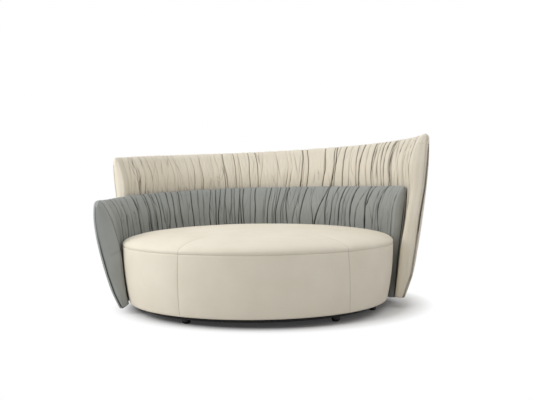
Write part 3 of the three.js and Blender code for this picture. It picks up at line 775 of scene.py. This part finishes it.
def tuck_list(back, rng, low, high, length):
    """Short creases: [place along the back, place up the front, half length, slope, bend, width,
    depth]."""
    found = []
    for _ in range(int((high - low) * back["tucks"])):
        found.append((
            rng.uniform(low + TUCK_MARGIN, high - TUCK_MARGIN), rng.uniform(*TUCK_HEIGHTS) * length,
            rng.uniform(*TUCK_HALF_LENGTHS), rng.normal(0, TUCK_SLOPE), rng.normal(0, TUCK_BEND),
            rng.uniform(*TUCK_WIDTHS) * MM, rng.uniform(*TUCK_DEPTHS) * MM,
        ))
    for _ in range(back["gathers"]):
        across = rng.uniform(low + GATHER_MARGIN, high - GATHER_MARGIN)
        up = rng.uniform(*GATHER_HEIGHTS) * length
        slope = rng.uniform(*GATHER_SLOPES) * rng.choice([-1, 1], p=GATHER_WAYS)
        for rung in range(rng.integers(*GATHER_RUNGS)):
            found.append((
                across + rng.normal(0, RUNG_SHIFT) * MM,
                up + rung * rng.uniform(*RUNG_SPACINGS) * MM,
                rng.uniform(*RUNG_HALF_LENGTHS) * MM, slope, 0,
                RUNG_WIDTH * MM, rng.uniform(*RUNG_DEPTHS) * MM,
            ))
    return found


def tucks(back, rng, angle, along, length):
    """Short slanting creases between and across the folds: their depth, and their shade."""
    depth, shade = np.zeros((2, *angle.shape))
    arc = np.radians(angle) * FOLD_RADIUS
    distance = along * length
    found = tuck_list(back, rng, arc.min(), arc.max(), length)
    for place, middle, half, slope, bend, width, deep in found:
        near = np.abs(arc[:, 0] - place) < TUCK_REACH
        up = distance - middle
        x = (arc[near] - place - slope * up - bend * up**2) / spread(angle[near])
        fade = (1 - np.clip(up / half, -1, 1) ** 2) ** 2
        bank = TUCK_BANK * bell(x, width=3 * width)
        depth[near] += deep * fade * (np.exp(-np.abs(x / width) ** TUCK_EDGE_POWER) - bank)
        shade[near] += deep / TUCK_FULL_SHADE * fade * bell(x, width=0.8 * width)
    return depth, shade


def ripples(rng, arc, distance, sines=9):
    """Soft upright waves between the folds, mostly within -1 to 1."""
    total = np.zeros(arc.shape)
    for _ in range(sines):
        wavelength = rng.uniform(*RIPPLE_LENGTHS) * MM
        patch = rng.uniform(*RIPPLE_PATCHES) * MM
        slant, drift = rng.normal(0, RIPPLE_SLANT), rng.normal(0, RIPPLE_DRIFT)
        start, patch_start = rng.uniform(0, math.tau, 2)
        swell = np.sin(math.tau * (arc + drift * distance) / patch + patch_start)
        total += swell * np.sin(math.tau * (arc + slant * distance) / wavelength + start)
    return total / math.sqrt(sines)


def across_line(angle, line):
    """Distance from a fold line, counted less where the back turns forward."""
    return np.radians(angle - line) * FOLD_RADIUS / spread(line)


def fold_lips(rng, angle, fold, lines, strength):
    """The pinched ridge along one side of each fold line."""
    side = rng.choice([-1, 1], len(lines))
    height = np.zeros(angle.shape)
    for index in (fold, fold + 1):
        across = across_line(angle, lines[index]) * side[index][:, None]
        height += LIP * strength[index] * bell(across - LIP_PLACE, width=2.8 * MM)
    return height


def line_dents(angle, fold, lines, strength):
    """Depth of the fold lines, where the deepest one counts most, and their shade."""
    dent, shade = np.zeros((2, *angle.shape))
    for step in LINES_FELT:
        index = np.clip(fold + step, 0, len(lines) - 1)
        counted = (index == fold + step)[:, None] * strength[index]
        away = np.abs(across_line(angle, lines[index]))
        deep = FOLD_DENT * np.exp(-away / FOLD_DENT_WIDTH) + FOLD_SLOT * bell(away, width=1.5 * MM)
        dent += (counted * deep) ** DENT_SHARPNESS
        shade = np.maximum(shade, counted * bell(away, width=2.25 * MM))
    return dent ** (1 / DENT_SHARPNESS), shade


def pad_relief(back, rng, lines, fold, phase, angle, shares, length):
    """How far each point of a pad is lifted off its smooth front, and its shade."""
    strength = line_strengths(back, rng, lines, length, shares)
    dent, shade = line_dents(angle, fold, lines, strength)
    gap = np.radians(lines[1:] - lines[:-1])[fold] * FOLD_RADIUS
    bulge = FOLD_BULGE * np.sqrt(np.minimum(1, gap / FULL_BULGE)) * np.sin(phase)[:, None]
    low, high = angle.min(), angle.max()
    inside = np.minimum(smoothstep(low, low + TUCKS_FROM_END, angle),
                        smoothstep(-high, TUCKS_FROM_END - high, -angle))
    small, small_shade = tucks(back, rng, angle, shares, length)
    right, left = lines[1], lines[-2]
    calm = (smoothstep(right - CALM_WIDTH, right + CALM_WIDTH, angle)
            * smoothstep(-left - CALM_WIDTH, CALM_WIDTH - left, -angle))
    fade = inside * calm * (1 - smoothstep(*TUCKS_END, shares))
    soft = RIPPLE * ripples(rng, np.radians(angle) * FOLD_RADIUS, shares * length)
    soft += fold_lips(rng, angle, fold, lines, strength)
    lift = (bulge + soft - SUNK) * (1 - smoothstep(*RELIEF_END, shares)) * calm
    lift = lift - dent - small * fade
    lift = lift * (1 - RIDGE_CALM * smoothstep(*CALM_FROM, shares))
    lift = np.where(lift > 0, MOST_LIFT * np.tanh(lift / MOST_LIFT), lift)
    return lift, shade + small_shade * fade


def pad(back):
    rng = np.random.default_rng(back["seed"])
    rows = front_rows()
    shares, length = row_shares(back, rows)
    lines = fold_lines(back, rng, shares, length)
    fold, phase = fold_columns(lines)
    across = ((1 - np.cos(phase)) / 2)[:, None]
    angle = lines[fold] * (1 - across) + lines[fold + 1] * across
    lift, shade = pad_relief(back, rng, lines, fold, phase, angle, shares, length)

    found = [curve(front_points(back, angle[:, j]), u) for j, u in enumerate(rows)]
    position, direction = (np.stack(parts, axis=1) for parts in zip(*found))
    radius, height = position[..., 0], position[..., 1]
    turn = angle.mean(axis=1)
    hidden = hidden_points(back, turn, gap=8.6 * MM)
    limit = np.array([np.interp(z, p[:, 1], p[:, 0]) for z, p in zip(height, hidden)])
    room = limit - arm_recess(back, turn[:, None], height) - radius
    on_ridge = rows > LAST_LEVEL
    lift = lift * np.where(on_ridge, 1, np.clip(room / FULL_DEPTH_ROOM, LEAST_DEPTH, 1))
    front = polar(radius - direction[..., 1] * lift, angle, height + direction[..., 0] * lift)

    behind = []
    for u in np.linspace(LAST_LEVEL, 0, num=13):
        point = between_levels(hidden, u)
        z = point[:, 1] + (PAD_REAR_RISE if u == LAST_LEVEL else 0)
        behind.append(polar(point[:, 0] - arm_recess(back, turn, z), turn, z))
    grid = np.concatenate([front, np.stack(behind, axis=1)], axis=1)
    # Painted shade deep in the fold lines and tucks, and low on the pad where it lies behind what
    # stands before it
    painted_shade = np.zeros(grid.shape[:2])
    low = 1 - smoothstep(*back["covered"], height / MM)
    painted_shade[:, :len(rows)] = np.clip(shade + DEEP_SHADE * low, 0, 1)
    # The pad takes the paler copy of its leather, which is painted light
    return skin(back["name"] + "_folds", grid, back["colour"] + "_gathers", painted_shade)


# Smooth ends of the backs. A section of an end is a path seen from above, and its shares run from
# the front face to the rear.
SEAM_SHARES = (0, 0.04, 0.1, 0.2, 0.4, 0.7)
REAR_SHARES = (0.75, 0.5, 0.25, 0)
NOSE_DOME = 3.5 * MM
NOSE_FULL_DOME = 50 * MM
LID_CORNER = 12 * MM
MOST_REAR_CORNER = 0.4
MOST_CORNER = (0.9, 0.55)
END_ROWS_PER_LEVEL = 12
BOTTOM_ROLL = 7 * MM
BOTTOM_TURNS = (0, 25, 50, 75)
LID_STEPS = (0.01, *np.linspace(0, 0.985, num=10)[1:])
LEAST_END = 1 * MM
STEEPEST = 0.999
FACE_FROM = (0.3, 0.6)
EDGE_LINE_SHADE = 1.3
CAP_SEAM_HEIGHTS = (0.45, 0.7)
CAP_SEAM_DEPTH = 1.6 * MM
CAP_SEAM_SHADE = 0.2
WRINKLE_SHARES = (0.75, 0.4)
WRINKLE_DEPTH = 2.2 * MM
WRINKLE_SHADE = 0.15
END_SEAM_WIDTH = 3.5 * MM
END_SEAM_SHADE = 0.8
WELT_DEPTH = 2.5 * MM


def end_path(length, rounding, room, rear):
    """An end seen from above, as distance along the back and in from the front face, from the seam
    round the tip and back. Two lengths round the front corner, and a radius the rear one."""
    turn = np.radians(np.linspace(0, 90, num=12))
    straight = length - rounding[0]
    dome = NOSE_DOME * min(1, room / NOSE_FULL_DOME)
    first = [(share * straight, 0) for share in SEAM_SHARES]
    corner = [(straight + rounding[0] * math.sin(t), rounding[1] * (1 - math.cos(t))) for t in turn]
    face = [(length + dome * math.sin(math.pi * s), rounding[1] + (room - rear - rounding[1]) * s)
            for s in np.linspace(0, 1, num=31)[1:]]
    face += [(length - rear + rear * math.cos(t), room - rear + rear * math.sin(t))
             for t in turn[2::2]]
    behind = [(share * (length - rear), room) for share in REAR_SHARES]
    return np.array(first + corner + face + behind)


def end_marks(end, height, share, room, on_face):
    """Seam and wrinkle on an end's broad face: their depth, and their shade."""
    depth, shade = np.zeros((2, len(share)))
    if "cap_seam" in end:
        line = bell((share - end["cap_seam"]) * room, width=2.5 * MM) * on_face
        line *= smoothstep(*CAP_SEAM_HEIGHTS, height)
        depth += CAP_SEAM_DEPTH * line
        shade += CAP_SEAM_SHADE * line
    if "wrinkle" in end:
        near, far = end["wrinkle"]
        line = bell(height - (near + (far - near) * share) * MM, width=6 * MM)
        line = line * on_face * smoothstep(*WRINKLE_SHARES, share)
        depth += WRINKLE_DEPTH * line
        shade += WRINKLE_SHADE * line
    return depth, shade


def end_piece(back, side):
    """The smooth end of a back, ring by ring from its rounded bottom to the ridge."""
    sign = 1 if side == "left" else -1
    seam = back["end"] - TRIM if side == "left" else back["start"] + TRIM
    end = back[side]
    top_rounding, corner = end["rounding"] * MM, end["corner"] * MM
    seam_width = END_SEAM_WIDTH * spread(seam)
    reaches = np.linspace(0, 1, num=30) * (END_LENGTH + NOSE_DOME)
    angles = seam + sign * np.degrees(reaches / SEAT_RADIUS)
    order = np.argsort(angles)
    front = front_points(back, angles)
    hidden = hidden_points(back, angles, gap=0.3 * MM)
    top = front[0, LAST_LEVEL + 2, 1]

    def across(found, turn):
        return [np.interp(turn, angles[order], found[order, i]) for i in (0, 1)]

    def front_at(u, turn):
        return across(curve(front, u)[0], turn)

    def hidden_at(u, turn):
        return across(between_levels(hidden, u), turn)

    def ring(u_near, u_far, far_at, inset=0, raised=0, rear=4 * MM):
        """One section, from step u_near on the front to u_far on the far side, and its painted
        shade.
        """
        here, there = front_at(u_near, seam), far_at(u_far, seam)
        height, room = here[1], there[0] - here[0]
        over = np.clip((height - (top - top_rounding)) / top_rounding, 0, STEEPEST)
        lost = (top_rounding - LEAST_END) * (1 - math.sqrt(1 - over * over))
        length = END_LENGTH - lost - inset
        rounding = [min(corner, most * size) for most, size in zip(MOST_CORNER, (length, room))]
        path = end_path(length, rounding, room, min(rear, MOST_REAR_CORNER * room))
        share = np.clip(path[:, 1] / room, 0, 1)
        on_front = share < 0.5
        on_face = smoothstep(*FACE_FROM, path[:, 0] / length)
        depth, painted_shade = end_marks(end, height, share, room, on_face)
        # Painted shade in the groove between the end and its rear cover
        if far_at is hidden_at:
            shown = (1 - smoothstep(*end["edge_line"], height / MM)) * on_face
            painted_shade += EDGE_LINE_SHADE * shown * bell((1 - share) * room, width=6 * MM)
        turn = seam + sign * np.degrees((path[:, 0] - depth) / SEAT_RADIUS)
        near, far = front_at(u_near, turn), far_at(u_far, turn)
        at_seam = np.exp(-path[:, 0] / seam_width) * on_front
        radius = near[0] + (far[0] - near[0]) * share + inset * (1 - 2 * share)
        fullness = min(1, room / NOSE_FULL_DOME)
        radius += end["dip"] * MM * at_seam * fullness
        # The welt is drawn dark as well, painted shade along it
        if "welt" in end:
            line = bell(path[:, 0] - end["welt"] * MM, width=3.5 * MM) * on_front
            radius += WELT_DEPTH * line * fullness
            painted_shade += line
        z = near[1] + (far[1] - near[1]) * share + raised
        return polar(radius, turn, z), painted_shade + END_SEAM_SHADE * end["seam"] * at_seam

    rings = []
    for turn in np.radians(BOTTOM_TURNS):
        rounded = BOTTOM_ROLL * (1 - math.sin(turn)), BOTTOM_ROLL * (1 - math.cos(turn))
        rings.append(ring(0, 0, hidden_at, *rounded))
    first = BOTTOM_ROLL / ((top - back["bottom"]) * FACE_LEVELS[1])
    steps = np.arange(1, LAST_LEVEL * END_ROWS_PER_LEVEL + 1) / END_ROWS_PER_LEVEL
    rings += [ring(u, u, hidden_at) for u in steps if u > first]
    for q in LID_STEPS:
        far = LAST_LEVEL + RIDGE_STEPS - 2 * q
        rings.append(ring(LAST_LEVEL + 2 * q, far, front_at, rear=LID_CORNER))
    grid, painted_shade = (np.stack(parts) for parts in zip(*rings))
    painted_shade = np.clip(painted_shade, 0, 1)
    return skin(f"{back['name']}_{side}_nose", grid, f"{back['colour']}_leather", painted_shade)


# Rear covers. Angles beside a seam and shares of the trim beside an end are where columns stand.
COVER_STEP = 1.0
BESIDE_COVER_SEAM = (-0.8, -0.45, -0.28, -0.16, -0.07, 0, 0.07, 0.16, 0.28, 0.45, 0.8)
COVER_SEAM_ROOM = 1.2
COVER_END_SHARES = (0, 0.25, 0.5, 0.7, 0.83, 0.92, 0.97, 1.0)
COVER_ROWS = 73
COVER_CORNER = 0.68
COVER_END = 0.99
COVER_PULL = 1.2 * MM
COVER_PULL_WIDTH = 9 * MM
COVER_LEAST = 4 * MM
MOST_INSET = 0.6
COVER_ROLL = 6 * MM
COVER_TOP_ROLL = 1.5 * MM
COVER_TOP_HEIGHT = 4 * MM
COVER_SEAM_SHADE = 0.4


def rear_cover(back):
    """Smooth leather over the back of the shell, in three panels, rounded at its edges."""
    close = np.array(COVER_END_SHARES) * TRIM
    start, end = back["start"] + TRIM, back["end"] - TRIM
    middle = np.arange(start + COVER_STEP, end - COVER_STEP / 2, COVER_STEP)
    for seam in back["rear_seams"]:
        clear = middle[np.abs(middle - seam) > COVER_SEAM_ROOM]
        middle = np.concatenate([clear, seam + np.array(BESIDE_COVER_SEAM)])
    angles = np.concatenate([start - close[::-1], np.sort(middle), end + close])
    away = np.min([np.abs(angles - seam) for seam in back["rear_seams"]], axis=0)
    away = np.radians(away) * FOLD_RADIUS
    line = bell(away, STITCH_WIDTH)
    groove = STITCH_GROOVE * line + COVER_PULL * np.exp(-away / COVER_PULL_WIDTH)
    outer = face_points(back, angles)[1]
    inside = hidden_points(back, angles, gap=0)
    past = np.clip(np.maximum(start - angles, angles - end) / TRIM, 0, COVER_END)
    over = np.clip((past - COVER_CORNER) / (1 - COVER_CORNER), 0, COVER_END)
    drawn = LID_CORNER * (1 - np.sqrt(1 - over**2))
    sections = []
    for u in np.linspace(0, LAST_LEVEL, COVER_ROWS):
        radius, z = curve(outer, u)[0].T
        behind = [np.interp(up, p[:, 1], p[:, 0]) for up, p in zip(z, inside)]
        thickness = np.maximum(radius - behind, COVER_LEAST)
        inset = np.minimum(drawn, MOST_INSET * thickness)
        roll = np.minimum(MOST_INSET * (thickness - inset), COVER_ROLL)
        below = np.clip(1 - (z - back["bottom"]) / roll, 0, 1)
        above = np.clip(1 - (outer[:, -1, 1] - z) / COVER_TOP_HEIGHT, 0, 1)
        rounded = roll * (1 - np.sqrt(1 - below**2 * STEEPEST)) + COVER_TOP_ROLL * above**2
        sections.append(polar(radius - inset - rounded - groove, angles, z))
    behind = [polar(inside[:, k, 0], angles, inside[:, k, 1]) for k in range(LAST_LEVEL, -1, -1)]
    grid = np.stack(sections + behind, axis=1)
    # Painted shade along the rear seams
    painted_shade = np.zeros(grid.shape[:2])
    painted_shade[:, :COVER_ROWS] = COVER_SEAM_SHADE * line[:, None]
    return skin(back["name"] + "_rear_leather", grid, back["colour"] + "_leather", painted_shade)


# Handing the pieces over to the frame

def hand_over(piece, body, node):
    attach(piece, body)
    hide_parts(node)


def dress_back(back):
    name, slot = back["name"], back["colour"] + "_leather"
    back["bottom"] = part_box(name + "_pad")[0].z
    hand_over(pad(back), name, name + "_pad")
    hand_over(end_piece(back, "left"), name, name + "_left_end")
    hand_over(end_piece(back, "right"), name, name + "_right_end")
    hand_over(rear_cover(back), name, name + "_rear_cover")


def dress_seat():
    hand_over(seat_cushion(), "base", "seat_cushion")
    hand_over(side_band(), "base", "side_band")
    hand_over(seat_foam(), "base", "seat_foam")


def dress_frame():
    """Gives every CAD node that stays its procedural material, by the record's slots."""
    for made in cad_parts.values():
        for slot in made.material_slots:
            key = slot.material.name.split(".")[0]
            slot.material = MATERIALS.get(key, slot.material)


# Camera, floor and light

CAMERA_PLACE = (0, -4.30, 0.724)
CAMERA_TURNS = ((-0.67, "Z"), (88.31, "X"), (-0.69, "Z"))
FOCAL_PIXELS = 765
IMAGE_WIDTH = 533
FLOOR_HALF = 40
SHADOW_MIDDLE = (0.08, 0.13, 0)
LAMP_PLACE = (-2.65, -0.65, 1.55)
LAMP_TARGET = (0, 0, 0.4)
WHITE = (1, 1, 1, 1)


def make_camera():
    data = bpy.data.cameras.new("camera")
    data.sensor_width = 36
    data.lens = FOCAL_PIXELS / IMAGE_WIDTH * data.sensor_width
    made = add_object("camera", data)
    made.matrix_world = Matrix.Translation(CAMERA_PLACE)
    for angle, axis in CAMERA_TURNS:
        made.matrix_world @= Matrix.Rotation(math.radians(angle), 4, axis)
    scene.camera = made


def combine(tree, operation, first, second):
    return add_node(tree, "Math", {0: first, 1: second}, operation=operation)[0]


def mix_shaders(tree, factor, first, second):
    return add_node(tree, "MixShader", {0: factor, 1: first, 2: second})[0]


def make_floor():
    """A white floor. Seen straight from a camera it glows to plain white away from the sofa, so the
    backdrop is white.
    The glow is partly painted light: it cuts the real shadow off past a ring about SHADOW_MIDDLE,
    and lifts the shadow under and beside the sofa a little."""
    material, tree, surface, position = start_material("studio_floor")
    paint = {"Base Color": (0.75, 0.75, 0.75, 1), "Roughness": 0.9, "Specular IOR Level": 0}
    feed_all(tree, surface, paint)
    points = {0: position, 1: SHADOW_MIDDLE}
    offset = add_node(tree, "VectorMath", points, operation="DISTANCE")["Value"]
    # Painted light: a faint glow near the sofa lifts its shadow, and the full glow past the ring
    # wipes the shadow out
    away = remap(tree, offset, low=0.035, high=1, source=(0.765, 0.915))
    camera_ray = add_node(tree, "LightPath", {})["Is Camera Ray"]
    shown = combine(tree, "MULTIPLY", away, camera_ray)
    white = add_node(tree, "Emission", {"Color": WHITE, "Strength": 1})[0]
    mixed = mix_shaders(tree, shown, surface.outputs[0], white)
    feed(tree, mixed, tree.nodes["Material Output"].inputs["Surface"])
    sides = ((-1, -1, 0), (1, -1, 0), (1, 1, 0), (-1, 1, 0))
    corners = FLOOR_HALF * np.array(sides, float)
    make_object("studio_floor", corners, [(0, 1, 2, 3)], material)


def make_world():
    """A dome that is bright overhead and dim at the horizon. Rays from the camera, and glossy and
    transmitted ones, see plain white."""
    world = bpy.data.worlds.new("studio")
    scene.world = world
    world.use_nodes = True
    tree = world.node_tree
    tree.nodes.clear()
    rays = add_node(tree, "LightPath", {})
    seen = combine(tree, "MAXIMUM", rays["Is Camera Ray"], rays["Is Glossy Ray"])
    seen = combine(tree, "MAXIMUM", seen, rays["Is Transmission Ray"])
    direction = add_node(tree, "TexCoord", {})["Generated"]
    height = add_node(tree, "SeparateXYZ", {0: direction})["Z"]
    strength = remap(tree, height, low=0, high=1.34, source=(0, 1))
    dome = add_node(tree, "Background", {"Color": WHITE, "Strength": strength})[0]
    white = add_node(tree, "Background", {"Color": WHITE, "Strength": 1})[0]
    add_node(tree, "OutputWorld", {"Surface": mix_shaders(tree, seen, dome, white)})


def make_lamp():
    """One broad lamp at the left."""
    light = bpy.data.lights.new("key", "AREA")
    light.shape = "DISK"
    light.size = 1.6
    light.energy = 30
    lamp = add_object("key", light)
    lamp.location = LAMP_PLACE
    lamp.rotation_mode = "QUATERNION"
    lamp.rotation_quaternion = (Vector(LAMP_PLACE) - Vector(LAMP_TARGET)).to_track_quat("Z", "Y")


make_camera()
make_floor()
make_world()
make_lamp()
dress_frame()
dress_seat()
dress_back(INNER_BACK)
dress_back(OUTER_BACK)

scene.view_settings.view_transform = "Standard"
